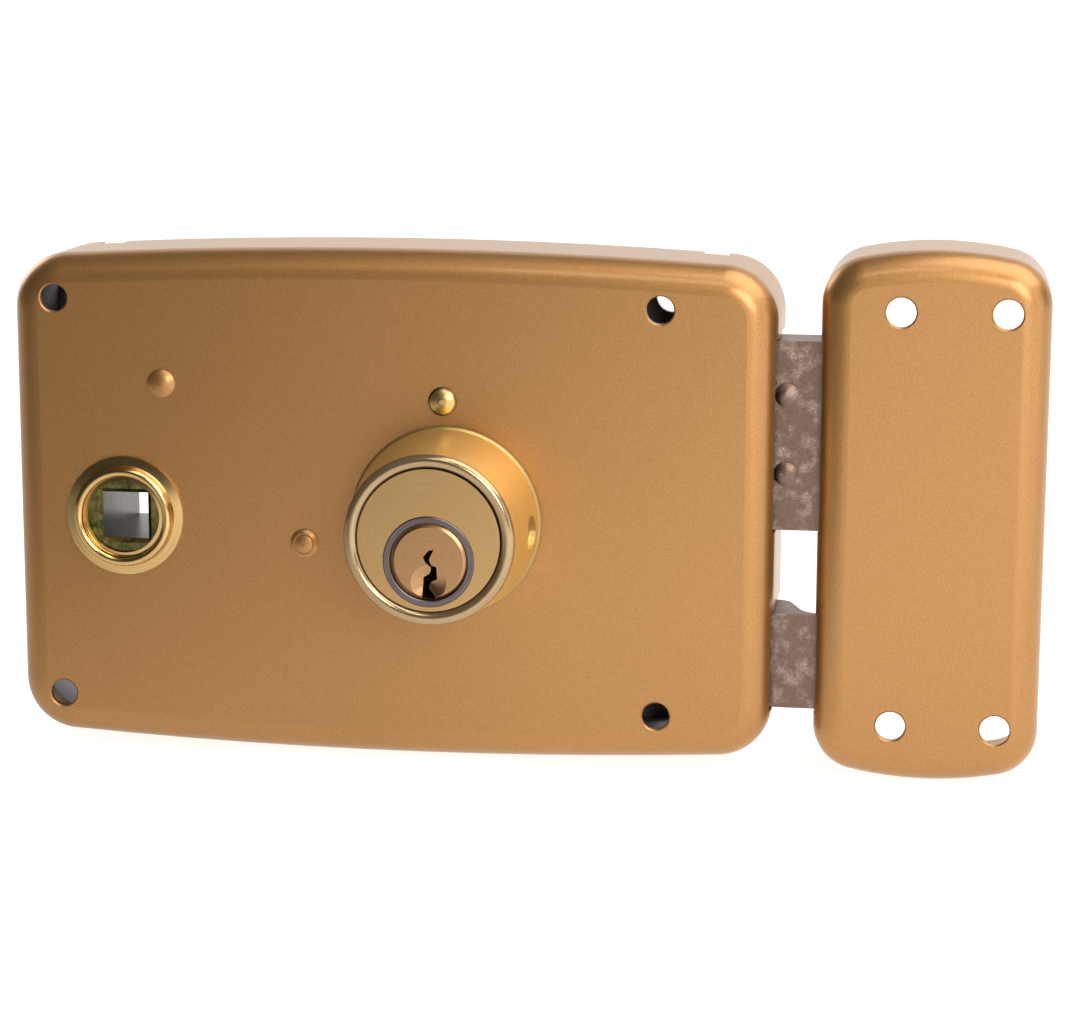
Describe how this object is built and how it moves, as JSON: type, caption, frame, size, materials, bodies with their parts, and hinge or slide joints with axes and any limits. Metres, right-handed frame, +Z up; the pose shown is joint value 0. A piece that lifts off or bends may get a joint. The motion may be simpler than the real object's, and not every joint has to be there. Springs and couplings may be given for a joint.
{
  "type": "rim box lock",
  "caption": "Rim lock with a painted steel case, key cylinder, square spindle follower, laminated deadbolt and bevelled spring latch, and the pressed box strike that both bolts enter.",
  "frame": {"origin": "centre of the case's four screw holes, on the plane of the door's face", "axes": "+X from the follower towards the strike, +Y into the door, +Z up"},
  "size_m": [0.1777, 0.0403, 0.0906],
  "materials": {
    "metallic_paint": "metallic gold paint with a fine speckle, satin to gloss",
    "brassed_steel": "brass-plated steel",
    "zinc_plate": "bright zinc plating",
    "brass": "turned and polished",
    "plug_brass": "turned, slightly coppery",
    "steel": "bare, brushed",
    "spring_steel": "bare",
    "bolt_steel": "ground, with rough patches",
    "chromated_zinc": "yellow-green chromated zinc"
  },
  "bodies": {
    "case": {"case_cover": "metallic_paint", "spring_post": "metallic_paint", "guide_post": "brassed_steel", "lever_post": "metallic_paint", "base_plate": "zinc_plate", "base_plate_screws": "zinc_plate", "cylinder_body": "brass", "cylinder_collar": "brass", "plug_ring": "steel", "cylinder_clip": "spring_steel", "driver_pins": "brass", "pin_springs": "spring_steel", "pin_caps": "brass", "follower_rosette": "brass", "latch_guide": "zinc_plate", "latch_spring": "spring_steel", "follower_spring": "spring_steel"},
    "plug": {"plug": "plug_brass", "key_pins": "brass", "plug_clip": "spring_steel", "drive_pinion": "steel", "latch_cam": "steel", "cam_clip": "spring_steel"},
    "deadbolt": {"deadbolt_front_plate": "bolt_steel", "deadbolt_core_plate": "bolt_steel", "deadbolt_back_plate": "bolt_steel", "deadbolt_rivets": "bolt_steel"},
    "latch": {"latch_bolt": "bolt_steel", "latch_tail": "zinc_plate", "latch_rivets": "steel", "latch_spring_rod": "steel"},
    "follower": {"follower": "chromated_zinc"},
    "lever": {"latch_lever": "zinc_plate"},
    "strike": {"strike_cover": "metallic_paint"}
  },
  "joints": [
    {"name": "deadbolt_slide", "type": "slide", "parent": "case", "child": "deadbolt", "axis": [1, 0, 0], "range_m": [-0.023, 0]},
    {"name": "plug_turn", "type": "hinge", "parent": "case", "child": "plug", "pos_m": [0.0162, 0, -0.0056], "axis": [0, -1, 0], "range_deg": [0, 263.57]},
    {"name": "latch_slide", "type": "slide", "parent": "case", "child": "latch", "axis": [1, 0, 0], "range_m": [-0.012, 0], "stiffness_N_per_m": 400, "springref_m": 0.012, "deforming": ["latch_spring"]},
    {"name": "follower_turn", "type": "hinge", "parent": "case", "child": "follower", "pos_m": [-0.0405, 0, -0.0027], "axis": [0, 1, 0], "range_deg": [0, 38.95], "deforming": ["follower_spring"]},
    {"name": "latch_lever_turn", "type": "hinge", "parent": "case", "child": "lever", "pos_m": [-0.0087, 0, -0.00665], "axis": [0, 1, 0], "range_deg": [0, 47.16]},
    {"name": "strike_pull", "type": "slide", "parent": "case", "child": "strike", "axis": [1, 0, 0], "range_m": [0, 0.04]}
  ],
  "couplings": [
    {"joint": "plug_turn", "follows": "deadbolt_slide", "rad_per_m": -200},
    {"joint": "follower_turn", "follows": "latch_slide", "rad_per_m": -56.639},
    {"joint": "latch_lever_turn", "follows": "latch_slide", "rad_per_m": -68.586}
  ]
}
